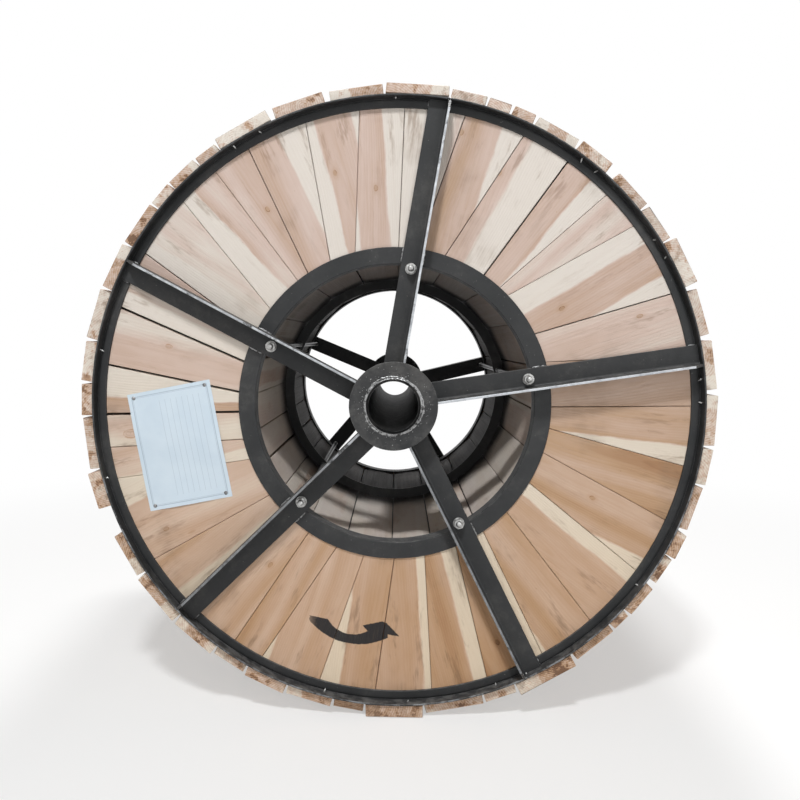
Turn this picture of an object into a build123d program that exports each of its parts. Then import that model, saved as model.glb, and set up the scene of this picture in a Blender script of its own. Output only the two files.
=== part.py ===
# Steel and timber drum for fibre optic cable, full of cable and lagged, standing on its rims.
# Millimetres, +Z up. The drum's axis is Y and the origin is the middle of its hub bore.
# The front flange is at -Y. Angles are seen from the front, anticlockwise from +X.
import os
from math import asin, atan2, cos, degrees, hypot, radians, sin, tan
from build123d import *

# Drum
FLANGE_R = 650.0          # outer radius of the steel rims
BOARD_OUT_Y = 436.0       # outer face of the flange boards, from mid-drum
BOARD_T = 25.0            # flange boards, planed timber
FIT = 0.3                 # clearance between curved or fitted pieces
EDGE = 1.5                # rounded toes of the rolled steel
BOARD_GAP = 0.8           # between staves, and between lagging boards

# Rims, a rolled channel with a lip that stands proud of the boards
RIM_T = 4.0
RIM_LEG = 23.5            # how far each leg covers the boards
RIM_LIP = 21.0            # lip beyond the front leg's face
RIM_GROOVE_W = 3.5        # rolled groove between the front leg and the lip
RIM_GROOVE_D = 2.8

# Inner rings, rolled from 36 x 36 x 4 angle
RING_IN_R = 299.0
RING_LEG = 36.0
RING_T = 4.0
RING_ROOT = 3.0

# Spokes, 45 x 45 x 5 angle, with the standing leg outwards
SPOKE_COUNT = 5
SPOKE_LEG = 45.0
SPOKE_T = 5.0
SPOKE_SETBACK = 9.5       # standing leg's back, beside the radial line
SPOKE_ROOT = 5.0

# Hub
PIPE_R = 57.0
BORE_R = 52.0
PIPE_PROUD = 3.0          # pipe end beyond the disc, for its weld
DISC_R = 92.5
DISC_T = 8.0

# Tie rods, M12
ROD_R = 6.0
ROD_INSET = 9.0           # rod centres inside the ring's inner radius
ROD_ANGLE = 10.6
ROD_PROUD = 7.0
NUT_FLATS = 19.0
NUT_H = 10.8
WASHER_R = 12.0
WASHER_T = 2.5
HOLE_SLACK = 0.7

# Barrel
STAVE_T = 25.0
HOOP_Y = 20.0             # front face of the hoop's standing leg
HOOP_LEG = 25.0
HOOP_T = 4.0

# Cable
FREEBOARD = 60.0          # rim's outer radius beyond the last layer

# Lagging boards round the rims, and their two steel straps
LAGGING_END_Y = 453.0
LAGGING_SCATTER = 5.0     # how unevenly the boards are cut to length
STRAP_Y = 240.0
STRAP_W = 32.0
STRAP_T = 0.9
SEAL_L = 45.0
SEAL_T = 1.2
SEAL_LAP = 3.0
SEAL_ANGLE = 107.5        # both seals lie on the lagging board nearest to this

# Paper sheet tacked to the front boards, about the size of a 16K page
SHEET_W = 185.0
SHEET_H = 260.0
SHEET_T = 0.4
SHEET_SHIFT = 5.9         # sheet's middle inwards from the middle of the boards
SHEET_ANGLE = 191.1
SHEET_TURN = 10.7

# Joints between flange boards: angle where each meets the rim, angle at the ring, gap
BOARD_JOINTS = [
    (9.4, 15.4, 1.0), (21.7, 26.4, 2.2), (36.6, 43.5, 0.8), (44.5, 47.6, 0.8),
    (54.3, 54.9, 3.0), (64.1, 70.7, 1.4), (76.0, 81.0, 1.6), (87.7, 88.0, 1.2),
    (96.5, 104.0, 0.8), (107.2, 113.7, 1.2), (119.5, 123.1, 1.5), (127.3, 127.7, 0.8),
    (136.0, 142.3, 0.8), (148.7, 153.2, 1.8), (160.5, 164.2, 5.0), (172.2, 175.6, 4.5),
    (182.1, 183.0, 5.0), (188.8, 193.3, 1.6), (195.2, 201.2, 0.8), (213.1, 216.5, 0.8),
    (225.0, 227.0, 0.8), (236.2, 236.6, 1.0), (242.6, 248.4, 1.0), (255.0, 258.9, 0.8),
    (266.3, 270.2, 1.3), (277.5, 281.5, 0.8), (288.7, 293.5, 1.0), (300.6, 304.9, 0.8),
    (312.1, 316.2, 0.8), (325.4, 329.7, 1.0), (336.8, 341.9, 0.8), (347.9, 351.0, 1.0),
    (359.6, 359.0, 1.4),
]

# Barrel staves: angles of their two edges
STAVES = [
    (15.6, 33.5), (33.5, 51.6), (51.6, 69.7), (69.7, 87.8), (87.8, 105.7), (106.1, 124.3),
    (124.3, 142.8), (142.8, 160.8), (161.6, 176.3), (176.3, 191.3), (191.4, 203.8),
    (204.6, 217.4), (217.6, 234.0), (234.0, 250.5), (250.8, 269.2), (269.4, 285.1),
    (285.4, 304.5), (304.8, 323.0), (323.0, 341.1), (341.3, 356.9), (357.1, 375.2),
]

# Lagging boards: angles of their two edges, thickness
LAGGING = [
    (352.4, 361.9, 25.0), (2.6, 11.8, 22.0), (12.4, 21.2, 24.0), (21.9, 30.9, 28.0),
    (31.0, 38.0, 21.0), (38.2, 45.9, 22.0), (47.5, 54.5, 24.0), (54.7, 63.3, 23.0),
    (63.5, 67.9, 22.0), (68.2, 72.6, 21.0), (72.7, 79.5, 23.0), (79.6, 91.4, 22.0),
    (91.6, 101.7, 22.0), (102.5, 112.4, 25.0), (113.1, 124.1, 25.0), (124.2, 128.9, 23.0),
    (129.0, 135.3, 22.0), (135.4, 140.2, 23.0), (140.3, 148.9, 24.0), (149.0, 158.0, 23.0),
    (158.1, 167.9, 28.0), (168.0, 175.8, 27.0), (176.0, 182.2, 25.0), (182.3, 192.4, 25.0),
    (192.6, 199.9, 30.0), (205.2, 214.1, 24.0), (214.2, 224.7, 27.0), (224.8, 233.9, 24.0),
    (234.0, 240.8, 23.0), (240.9, 249.2, 24.0), (249.3, 258.3, 21.0), (258.4, 264.4, 22.0),
    (264.5, 275.5, 26.0), (275.6, 286.9, 22.0), (287.0, 293.2, 22.0), (293.3, 305.2, 27.0),
    (305.3, 314.2, 22.0), (314.4, 318.1, 19.0), (318.2, 324.7, 23.0), (325.5, 330.9, 23.0),
    (331.0, 336.0, 24.0), (336.5, 345.1, 22.0), (345.2, 352.1, 24.0),
]

# Places that follow from the sizes above
FULL_TURN = 360.0
CABLE_R = FLANGE_R - FREEBOARD
ROD_CIRCLE = RING_IN_R - ROD_INSET
BOARD_IN_Y = BOARD_OUT_Y - BOARD_T
STEEL_FACE_Y = BOARD_OUT_Y + RIM_T
SPOKE_FACE_Y = STEEL_FACE_Y + SPOKE_T
SPOKE_TOP_Y = STEEL_FACE_Y + SPOKE_LEG
DISC_FACE_Y = SPOKE_TOP_Y + DISC_T
PIPE_END_Y = DISC_FACE_Y + PIPE_PROUD
LIP_Y = STEEL_FACE_Y + RIM_LIP
WEB_IN_R = FLANGE_R - RIM_T
RING_SEAT_R = RING_IN_R + RING_T
STAVE_IN_R = RING_SEAT_R + FIT
WIDEST_STAVE = max(last - first for first, last in STAVES)
STAVE_CORNER_R = hypot(STAVE_IN_R + STAVE_T, STAVE_IN_R * tan(radians(WIDEST_STAVE / 2.0)))
CABLE_BORE_R = STAVE_CORNER_R + FIT
WASHER_FACE_Y = SPOKE_FACE_Y + WASHER_T
NUT_FACE_Y = WASHER_FACE_Y + NUT_H
ROD_END_Y = NUT_FACE_Y + ROD_PROUD
LEG_MID = SPOKE_LEG / 2.0 - SPOKE_SETBACK
SPOKE_ANGLE = ROD_ANGLE - degrees(asin(LEG_MID / ROD_CIRCLE))
LAGGING_R = FLANGE_R + FIT
STEP = FULL_TURN / SPOKE_COUNT
JOINT_REACH = 1.5         # a joint's cut runs on past both ends of its board
SHEET_R = (FLANGE_R - RIM_LEG + RING_IN_R + RING_LEG) / 2.0 - SHEET_SHIFT

os.makedirs("parts", exist_ok=True)


def front_plane(y):
    """Plane at -y that faces the front, with +X across and +Z up."""
    return Plane(origin=(0, -y, 0), x_dir=(1, 0, 0), z_dir=(0, -1, 0))


def turned_over(shape):
    """The back flange is the front one turned over and set to the same tie rods."""
    return shape.rotate(Axis.Z, 180.0).rotate(Axis.Y, 180.0 - 2.0 * ROD_ANGLE)


def write(shape, name):
    shape.label = name
    export_step(shape, f"parts/{name}.step")


def polar(radius, angle):
    return radius * cos(radians(angle)), radius * sin(radians(angle))


def board_corners(radius, first, last, thickness):
    """Section of a flat board laid round a circle, between two angles, inner edge first."""
    half_width = radius * tan(radians(last - first) / 2.0) - BOARD_GAP / 2.0
    middle = radians((first + last) / 2.0)
    along = Vector(cos(middle), sin(middle))
    across = Vector(-sin(middle), cos(middle))
    inner = along * radius
    outer = along * (radius + thickness)
    return [
        inner - across * half_width,
        outer - across * half_width,
        outer + across * half_width,
        inner + across * half_width,
    ]


# Rims
with BuildPart() as rim_front:
    with BuildSketch(Plane.XY) as rim_section:
        with BuildLine():
            Polyline(
                (FLANGE_R, -LIP_Y),
                (WEB_IN_R, -LIP_Y),
                (WEB_IN_R, RIM_GROOVE_D - STEEL_FACE_Y),
                (WEB_IN_R - RIM_GROOVE_W, RIM_GROOVE_D - STEEL_FACE_Y),
                (WEB_IN_R - RIM_GROOVE_W, -STEEL_FACE_Y),
                (FLANGE_R - RIM_LEG, -STEEL_FACE_Y),
                (FLANGE_R - RIM_LEG, -BOARD_OUT_Y),
                (WEB_IN_R, -BOARD_OUT_Y),
                (WEB_IN_R, -BOARD_IN_Y),
                (FLANGE_R - RIM_LEG, -BOARD_IN_Y),
                (FLANGE_R - RIM_LEG, RIM_T - BOARD_IN_Y),
                (FLANGE_R, RIM_T - BOARD_IN_Y),
                close=True,
            )
        make_face()
        for toe in (
            (FLANGE_R, -LIP_Y),
            (WEB_IN_R, -LIP_Y),
            (WEB_IN_R - RIM_GROOVE_W, -STEEL_FACE_Y),
            (FLANGE_R - RIM_LEG, -STEEL_FACE_Y),
            (FLANGE_R, RIM_T - BOARD_IN_Y),
        ):
            fillet(rim_section.vertices().sort_by_distance(toe)[0], EDGE)
    revolve(axis=Axis.Y)
write(rim_front.part, "rim_front")

with BuildPart() as rim_back:
    add(turned_over(rim_front.part))
write(rim_back.part, "rim_back")

# Inner rings
with BuildPart() as inner_ring_front:
    with BuildSketch(Plane.XY) as ring_section:
        with BuildLine():
            Polyline(
                (RING_IN_R, -STEEL_FACE_Y),
                (RING_IN_R + RING_LEG, -STEEL_FACE_Y),
                (RING_IN_R + RING_LEG, RING_T - STEEL_FACE_Y),
                (RING_SEAT_R, RING_T - STEEL_FACE_Y),
                (RING_SEAT_R, RING_LEG - STEEL_FACE_Y),
                (RING_IN_R, RING_LEG - STEEL_FACE_Y),
                close=True,
            )
        make_face()
        root = (RING_SEAT_R, RING_T - STEEL_FACE_Y)
        fillet(ring_section.vertices().sort_by_distance(root)[0], RING_ROOT)
        for toe in (
            (RING_IN_R, -STEEL_FACE_Y),
            (RING_IN_R + RING_LEG, -STEEL_FACE_Y),
            (RING_IN_R, RING_LEG - STEEL_FACE_Y),
        ):
            fillet(ring_section.vertices().sort_by_distance(toe)[0], EDGE)
    revolve(axis=Axis.Y)
write(inner_ring_front.part, "inner_ring_front")

with BuildPart() as inner_ring_back:
    add(turned_over(inner_ring_front.part))
write(inner_ring_back.part, "inner_ring_back")

# Flange boards: one round of boards cut apart along its joints
with BuildPart() as flange_boards_front:
    with BuildSketch(front_plane(BOARD_IN_Y)):
        Circle(WEB_IN_R - FIT)
        Circle(RING_SEAT_R + RING_ROOT + FIT, mode=Mode.SUBTRACT)
        for rim_angle, ring_angle, gap in BOARD_JOINTS:
            outer = Vector(*polar(FLANGE_R - RIM_LEG, rim_angle))
            inner = Vector(*polar(RING_IN_R + RING_LEG, ring_angle))
            run = outer - inner
            lean = degrees(atan2(run.Y, run.X))
            with Locations((outer + inner) * 0.5):
                Rectangle(JOINT_REACH * run.length, gap, rotation=lean, mode=Mode.SUBTRACT)
    extrude(amount=BOARD_T)
write(flange_boards_front.part, "flange_boards_front")

with BuildPart() as flange_boards_back:
    add(turned_over(flange_boards_front.part))
write(flange_boards_back.part, "flange_boards_back")

# Spokes: angle iron from the hub pipe to the rim's lip, drilled for its tie rod
SPOKE_SECTION = Plane(origin=(0, 0, 0), x_dir=(0, 0, 1), z_dir=(1, 0, 0))

with BuildPart() as spoke:
    with BuildSketch(SPOKE_SECTION) as angle_section:
        with BuildLine():
            Polyline(
                (-SPOKE_SETBACK, STEEL_FACE_Y),
                (SPOKE_LEG - SPOKE_SETBACK, STEEL_FACE_Y),
                (SPOKE_LEG - SPOKE_SETBACK, SPOKE_FACE_Y),
                (SPOKE_T - SPOKE_SETBACK, SPOKE_FACE_Y),
                (SPOKE_T - SPOKE_SETBACK, SPOKE_TOP_Y),
                (-SPOKE_SETBACK, SPOKE_TOP_Y),
                close=True,
            )
        make_face()
        root = (SPOKE_T - SPOKE_SETBACK, SPOKE_FACE_Y)
        fillet(angle_section.vertices().sort_by_distance(root)[0], SPOKE_ROOT)
        for toe in ((root[0], SPOKE_TOP_Y), (SPOKE_LEG - SPOKE_SETBACK, SPOKE_FACE_Y)):
            fillet(angle_section.vertices().sort_by_distance(toe)[0], EDGE)
    extrude(amount=FLANGE_R)
    with BuildSketch(front_plane(0)):
        Circle(WEB_IN_R - FIT)
        Circle(PIPE_R + FIT, mode=Mode.SUBTRACT)
    extrude(amount=PIPE_END_Y, mode=Mode.INTERSECT)
    rise = SPOKE_TOP_Y - LIP_Y
    with BuildSketch(Plane.XY.offset(-SPOKE_LEG)):
        with BuildLine():
            Polyline(
                (WEB_IN_R - rise, -SPOKE_TOP_Y),
                (WEB_IN_R + rise, -SPOKE_TOP_Y - SPOKE_T),
                (WEB_IN_R + rise, -LIP_Y + rise),
                close=True,
            )
        make_face()
    extrude(amount=2.0 * SPOKE_LEG, mode=Mode.SUBTRACT)
    with BuildSketch(front_plane(STEEL_FACE_Y)):
        with Locations((ROD_CIRCLE * cos(radians(ROD_ANGLE - SPOKE_ANGLE)), LEG_MID)):
            Circle(ROD_R + HOLE_SLACK)
    extrude(amount=SPOKE_T, mode=Mode.SUBTRACT)

for number in range(1, SPOKE_COUNT + 1):
    turn = SPOKE_ANGLE + STEP * (number - 1)
    with BuildPart() as spoke_front:
        add(spoke.part.rotate(Axis.Y, -turn))
    write(spoke_front.part, f"spoke_front_{number}")
    with BuildPart() as spoke_back:
        add(turned_over(spoke_front.part))
    write(spoke_back.part, f"spoke_back_{number}")

# Hub: a through pipe for the spindle, and a disc welded over the spokes' inner ends
with BuildPart() as hub_disc_front:
    with BuildSketch(front_plane(SPOKE_TOP_Y)):
        Circle(DISC_R)
        Circle(PIPE_R + FIT, mode=Mode.SUBTRACT)
    extrude(amount=DISC_T)
    chamfer(hub_disc_front.edges().filter_by(GeomType.CIRCLE).sort_by(SortBy.RADIUS)[-2:], 1.0)
write(hub_disc_front.part, "hub_disc_front")

with BuildPart() as hub_disc_back:
    add(turned_over(hub_disc_front.part))
write(hub_disc_back.part, "hub_disc_back")

with BuildPart() as hub_pipe:
    with BuildSketch(front_plane(-PIPE_END_Y)):
        Circle(PIPE_R)
        Circle(BORE_R, mode=Mode.SUBTRACT)
    extrude(amount=2.0 * PIPE_END_Y)
write(hub_pipe.part, "hub_pipe")

# Tie rods, their washers and nuts
for number in range(1, SPOKE_COUNT + 1):
    rod_x, rod_z = polar(ROD_CIRCLE, ROD_ANGLE + STEP * (number - 1))
    with BuildPart() as tie_rod:
        with BuildSketch(front_plane(-ROD_END_Y)):
            with Locations((rod_x, rod_z)):
                Circle(ROD_R)
        extrude(amount=2.0 * ROD_END_Y)
        chamfer(tie_rod.edges().filter_by(GeomType.CIRCLE), 1.0)
    write(tie_rod.part, f"tie_rod_{number}")

with BuildPart() as tie_rod_washers:
    for face_y in (SPOKE_FACE_Y, -WASHER_FACE_Y):
        with BuildSketch(front_plane(face_y)):
            with PolarLocations(ROD_CIRCLE, SPOKE_COUNT, start_angle=ROD_ANGLE):
                Circle(WASHER_R)
                Circle(ROD_R + HOLE_SLACK, mode=Mode.SUBTRACT)
        extrude(amount=WASHER_T)
write(tie_rod_washers.part, "tie_rod_washers")

with BuildPart() as tie_rod_nuts:
    for face_y in (WASHER_FACE_Y, -NUT_FACE_Y):
        with BuildSketch(front_plane(face_y)):
            with PolarLocations(ROD_CIRCLE, SPOKE_COUNT, start_angle=ROD_ANGLE):
                RegularPolygon(NUT_FLATS / 2.0, 6, major_radius=False)
                Circle(ROD_R + FIT, mode=Mode.SUBTRACT)
        extrude(amount=NUT_H)
write(tie_rod_nuts.part, "tie_rod_nuts")

# Barrel: flat staves on the inner rings' legs, and a rolled hoop inside them at mid-length
with BuildPart() as barrel_staves:
    with BuildSketch(front_plane(-BOARD_IN_Y)):
        for first, last in STAVES:
            with BuildLine():
                Polyline(*board_corners(STAVE_IN_R, first, last, STAVE_T), close=True)
            make_face()
    extrude(amount=2.0 * BOARD_IN_Y)
write(barrel_staves.part, "barrel_staves")

with BuildPart() as barrel_hoop:
    with BuildSketch(Plane.XY):
        with BuildLine():
            Polyline(
                (RING_SEAT_R, HOOP_Y),
                (RING_SEAT_R, HOOP_Y + HOOP_LEG),
                (RING_SEAT_R - HOOP_T, HOOP_Y + HOOP_LEG),
                (RING_SEAT_R - HOOP_T, HOOP_Y + HOOP_T),
                (RING_SEAT_R - HOOP_LEG, HOOP_Y + HOOP_T),
                (RING_SEAT_R - HOOP_LEG, HOOP_Y),
                close=True,
            )
        make_face()
    revolve(axis=Axis.Y)
    with BuildSketch(front_plane(-HOOP_Y)):
        with PolarLocations(ROD_CIRCLE, SPOKE_COUNT, start_angle=ROD_ANGLE):
            Circle(ROD_R + HOLE_SLACK)
    extrude(amount=-HOOP_T, mode=Mode.SUBTRACT)
write(barrel_hoop.part, "barrel_hoop")

# Cable: the wound layers as one turned core
with BuildPart() as cable_winding:
    with BuildSketch(front_plane(FIT - BOARD_IN_Y)):
        Circle(CABLE_R)
        Circle(CABLE_BORE_R, mode=Mode.SUBTRACT)
    extrude(amount=2.0 * (BOARD_IN_Y - FIT))
write(cable_winding.part, "cable_winding")

# Lagging: flat boards laid side by side on the two rims
with BuildPart() as lagging_boards:
    for count, (first, last, thickness) in enumerate(LAGGING):
        front_end = LAGGING_END_Y + LAGGING_SCATTER * sin(2.4 * count)
        back_end = LAGGING_END_Y + LAGGING_SCATTER * sin(1.7 * count + 1.0)
        with BuildSketch(front_plane(-back_end)):
            with BuildLine():
                Polyline(*board_corners(LAGGING_R, first, last, thickness), close=True)
            make_face()
        extrude(amount=front_end + back_end)
write(lagging_boards.part, "lagging_boards")

# Straps: flat steel band drawn tight over the lagging's outermost edges, with a crimped seal
with BuildSketch() as lagging_outline:
    with BuildLine() as outer_edges:
        for first, last, thickness in LAGGING:
            corners = board_corners(LAGGING_R, first, last, thickness)
            Line(corners[1], corners[2])
    make_hull()

for name, strap_y in (("front", STRAP_Y), ("back", -STRAP_Y)):
    with BuildPart() as strap:
        with BuildSketch(front_plane(strap_y - STRAP_W / 2.0)):
            offset(lagging_outline.sketch, amount=STRAP_T, kind=Kind.INTERSECTION)
            add(lagging_outline.sketch, mode=Mode.SUBTRACT)
        extrude(amount=STRAP_W)
    write(strap.part, f"strap_{name}")

first, last, thickness = min(LAGGING, key=lambda row: abs((row[0] + row[1]) / 2.0 - SEAL_ANGLE))
seal_r = LAGGING_R + thickness + STRAP_T + SEAL_T / 2.0
with BuildPart() as strap_seals:
    for strap_y in (STRAP_Y, -STRAP_Y):
        with BuildSketch(front_plane(strap_y - STRAP_W / 2.0 - SEAL_LAP)):
            with PolarLocations(seal_r, 1, start_angle=(first + last) / 2.0):
                Rectangle(SEAL_T, SEAL_L)
        extrude(amount=STRAP_W + 2.0 * SEAL_LAP)
write(strap_seals.part, "strap_seals")

# Paper sheet on the front boards
with BuildPart() as certificate_sheet:
    with BuildSketch(front_plane(BOARD_OUT_Y)):
        with Locations(polar(SHEET_R, SHEET_ANGLE)):
            Rectangle(SHEET_W, SHEET_H, rotation=SHEET_TURN)
    extrude(amount=SHEET_T)
write(certificate_sheet.part, "certificate_sheet")
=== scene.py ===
# Dressed model of a steel and timber cable drum, in metres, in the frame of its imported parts.
import math
import random

import bmesh
import bpy
from mathutils import Matrix, Vector


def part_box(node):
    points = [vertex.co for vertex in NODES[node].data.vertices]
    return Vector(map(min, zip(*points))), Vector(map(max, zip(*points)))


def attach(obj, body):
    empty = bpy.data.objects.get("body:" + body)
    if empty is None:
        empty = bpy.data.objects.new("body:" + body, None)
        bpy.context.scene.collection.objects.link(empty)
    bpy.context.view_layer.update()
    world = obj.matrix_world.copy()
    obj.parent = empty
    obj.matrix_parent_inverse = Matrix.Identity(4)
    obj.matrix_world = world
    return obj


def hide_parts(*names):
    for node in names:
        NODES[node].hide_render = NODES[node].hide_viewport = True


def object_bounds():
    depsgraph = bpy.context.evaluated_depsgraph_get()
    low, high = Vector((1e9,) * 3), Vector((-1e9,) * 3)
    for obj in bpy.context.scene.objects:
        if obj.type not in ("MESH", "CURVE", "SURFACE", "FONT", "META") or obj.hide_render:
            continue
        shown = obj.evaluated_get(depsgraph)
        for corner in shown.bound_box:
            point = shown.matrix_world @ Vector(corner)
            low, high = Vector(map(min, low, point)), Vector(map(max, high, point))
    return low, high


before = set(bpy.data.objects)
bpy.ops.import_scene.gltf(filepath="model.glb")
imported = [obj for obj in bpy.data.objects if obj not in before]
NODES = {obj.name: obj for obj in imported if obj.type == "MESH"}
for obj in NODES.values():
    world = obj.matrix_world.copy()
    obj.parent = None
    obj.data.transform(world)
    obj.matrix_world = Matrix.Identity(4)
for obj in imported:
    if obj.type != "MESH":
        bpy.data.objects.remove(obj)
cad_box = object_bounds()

FULL_TURN = 2.0 * math.pi
MM = 0.001

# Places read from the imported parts
BOARD_FACE_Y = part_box("flange_boards_front")[0].y
STEEL_FACE_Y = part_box("inner_ring_front")[0].y
RING_OUT_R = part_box("inner_ring_front")[1].x
SPOKE_TOP_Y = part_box("spoke_front_1")[0].y
LIP_TIP_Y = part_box("rim_front")[0].y
RIM_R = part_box("rim_front")[1].x
DISC_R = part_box("hub_disc_front")[1].x
DISC_FACE_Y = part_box("hub_disc_front")[0].y
PIPE_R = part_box("hub_pipe")[1].x
ROD_END_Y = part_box("tie_rod_1")[0].y
NUT_FACE_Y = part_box("tie_rod_nuts")[0].y
WASHER_FACE_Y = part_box("tie_rod_washers")[0].y
CABLE_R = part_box("cable_winding")[1].x
CABLE_END_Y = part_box("cable_winding")[1].y
FLOOR_Z = cad_box[0][2]

# Sizes and places that the boxes don't give, as in the parts' source
SPOKE_COUNT = 5
SPOKE_ANGLE = math.radians(8.03)
SPOKE_SETBACK = 0.0095
SPOKE_LEG = 0.045
ROD_ANGLE = math.radians(10.6)
ROD_R = 0.006
NUT_FLATS = 0.019
RIM_LEG = 0.0235
LIP_T = 0.004
RING_IN_R = 0.299
SHEET_W = 0.185
SHEET_H = 0.260
SHEET_ANGLE = math.radians(191.1)
SHEET_TURN = math.radians(10.7)
SHEET_R = 0.4749

# Sizes of the dressing
EDGE_EASE = 0.0012
THREAD_PITCH = 0.00175
THREAD_DEPTH = 0.0009
THREAD_LENGTH = 0.042
THREAD_SIDES = 20
NUT_SIDES = 48
CHAMFER_SLOPE = 0.577
NAIL_INSET = 0.0095
TWO_NAIL_HALF_WIDTH = 0.036
TIP_CHANCE = 0.4
WELD_SINK = 0.0016
WELD_STEP = 0.0028
RING_WELD_R = 0.0024
END_WELD_R = 0.0022
MOUTH_POINTS = 120
SPATTER_COUNT = 150
TURN_PITCH = 0.016
CABLE_BORE_R = 0.3330
CABLE_SIDES = 120
PAPER_T = 0.00025
TACK_INSET_U = 0.013
TACK_INSET_V = 0.010


# Materials
class Shader:
    """One node material, written as nested calls that return sockets."""

    def __init__(self, name):
        self.material = bpy.data.materials.new(name)
        self.material.use_nodes = True
        self.tree = self.material.node_tree
        self.surface = self.tree.nodes["Principled BSDF"]

    def plug(self, socket, value):
        if isinstance(value, bpy.types.NodeSocket):
            self.tree.links.new(value, socket)
        elif value is not None:
            socket.default_value = value

    def node(self, kind, *values, out=0, **settings):
        made = self.tree.nodes.new(kind)
        for key, value in settings.items():
            setattr(made, key, value)
        for socket, value in zip([s for s in made.inputs if s.enabled], values):
            self.plug(socket, value)
        return made.outputs[out]

    def math(self, operation, first, second=0.0):
        return self.node("ShaderNodeMath", first, second, operation=operation)

    def add(self, first, second):
        return self.math("ADD", first, second)

    def times(self, first, second):
        return self.math("MULTIPLY", first, second)

    def less(self, first, second):
        return self.math("SUBTRACT", first, second)

    def most(self, first, second):
        return self.math("MAXIMUM", first, second)

    def unsigned(self, value):
        return self.math("ABSOLUTE", value)

    def length(self, first, second):
        squares = self.add(self.times(first, first), self.times(second, second))
        return self.math("SQRT", squares)

    def attribute(self, name):
        return self.node("ShaderNodeAttribute", attribute_name=name, out="Vector")

    def parts(self, vector):
        made = self.tree.nodes.new("ShaderNodeSeparateXYZ")
        self.plug(made.inputs[0], vector)
        return made.outputs[0], made.outputs[1], made.outputs[2]

    def joined(self, x, y, z):
        return self.node("ShaderNodeCombineXYZ", x, y, z)

    def place(self):
        return self.node("ShaderNodeTexCoord", out="Object")

    def normal(self):
        return self.parts(self.node("ShaderNodeNewGeometry", out="Normal"))

    def stretch(self, vector, scale, turn=(0.0, 0.0, 0.0)):
        return self.node("ShaderNodeMapping", vector, (0.0, 0.0, 0.0), turn, scale)

    def noise(self, place, scale, detail=2.0, rough=0.5, line=False):
        """Noise in space, or along one number."""
        made = self.tree.nodes.new("ShaderNodeTexNoise")
        made.noise_dimensions = "1D" if line else "3D"
        self.plug(made.inputs["W" if line else "Vector"], place)
        for key, number in (("Scale", scale), ("Detail", detail), ("Roughness", rough)):
            made.inputs[key].default_value = number
        return made.outputs["Fac"]

    def swing(self, value, share):
        """A level from 0 to 1, moved to lie about zero and scaled."""
        return self.times(self.less(value, 0.5), share)

    def drawn_noise(self, place, scales, detail=2.0, rough=0.5):
        """Noise with a scale of its own for each direction."""
        return self.noise(self.stretch(place, scales), 1.0, detail, rough)

    def cells(self, vector, scale, out="Distance"):
        made = self.tree.nodes.new("ShaderNodeTexVoronoi")
        self.plug(made.inputs["Vector"], vector)
        made.inputs["Scale"].default_value = scale
        return made.outputs[out]

    def ramp(self, value, *stops):
        made = self.tree.nodes.new("ShaderNodeValToRGB")
        self.plug(made.inputs["Fac"], value)
        elements = made.color_ramp.elements
        while len(elements) < len(stops):
            elements.new(0.5)
        for element, (position, colour) in zip(elements, stops):
            element.position = position
            level = colour if isinstance(colour, tuple) else (colour, colour, colour)
            element.color = (*level, 1.0)
        return made.outputs["Color"]

    def band(self, value, low, high, reverse=False):
        """0 below low and 1 above high, or the reverse."""
        ends = (1.0, 0.0) if reverse else (0.0, 1.0)
        made = self.tree.nodes.new("ShaderNodeMapRange")
        made.interpolation_type = "SMOOTHSTEP"
        self.plug(made.inputs["Value"], value)
        for key, number in (("From Min", low), ("From Max", high), ("To Min", ends[0]), ("To Max", ends[1])):
            self.plug(made.inputs[key], number)
        return made.outputs["Result"]

    def mix(self, factor, first, second, blend="MIX"):
        made = self.tree.nodes.new("ShaderNodeMix")
        made.data_type = "RGBA"
        made.blend_type = blend
        self.plug(made.inputs[0], factor)
        for socket, value in ((made.inputs[6], first), (made.inputs[7], second)):
            self.plug(socket, (*value, 1.0) if isinstance(value, tuple) else value)
        return made.outputs[2]

    def worn_edges(self, radius):
        """1 along convex and concave edges, 0 on flats."""
        soft = self.node("ShaderNodeBevel", radius)
        flat = self.node("ShaderNodeNewGeometry", out="Normal")
        along = self.node("ShaderNodeVectorMath", soft, flat, operation="DOT_PRODUCT", out="Value")
        return self.band(along, 0.90, 0.985, reverse=True)

    def finish(self, colour, roughness, height=None, depth=0.0005, **settings):
        self.plug(self.surface.inputs["Base Color"], (*colour, 1.0) if isinstance(colour, tuple) else colour)
        self.plug(self.surface.inputs["Roughness"], roughness)
        for key, value in settings.items():
            self.plug(self.surface.inputs[key.replace("_", " ")], value)
        if height is not None:
            bump = self.tree.nodes.new("ShaderNodeBump")
            bump.inputs["Distance"].default_value = depth
            self.plug(bump.inputs["Height"], height)
            self.plug(self.surface.inputs["Normal"], bump.outputs["Normal"])
        return self.material


PAINT_SHADES = ((0.3, (0.018, 0.019, 0.020)), (0.55, (0.030, 0.0305, 0.0315)), (0.8, (0.050, 0.049, 0.047)))
PAINT_GLOSS = 0.3
RUBBED_PAINT = (0.11, 0.108, 0.105)
PAINT_DUST = (0.12, 0.115, 0.11)
# Dust on upward faces, which also stands for painted light from above
TOP_DUST_AND_LIGHT = (0.19, 0.185, 0.18)
SCRAPED_STEEL = (0.26, 0.26, 0.26)
CHIPPED_STEEL = (0.26, 0.25, 0.24)
# Painted shade on steel inside the barrel
PAINTED_SHADE_STEEL = (0.03, 0.03, 0.032)
# Bare steel, also used as painted highlight on the lower rim lip and the upper spokes
BARE_STEEL_AND_HIGHLIGHT = ((0.3, (0.30, 0.31, 0.33)), (0.7, (0.60, 0.62, 0.64)))


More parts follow.
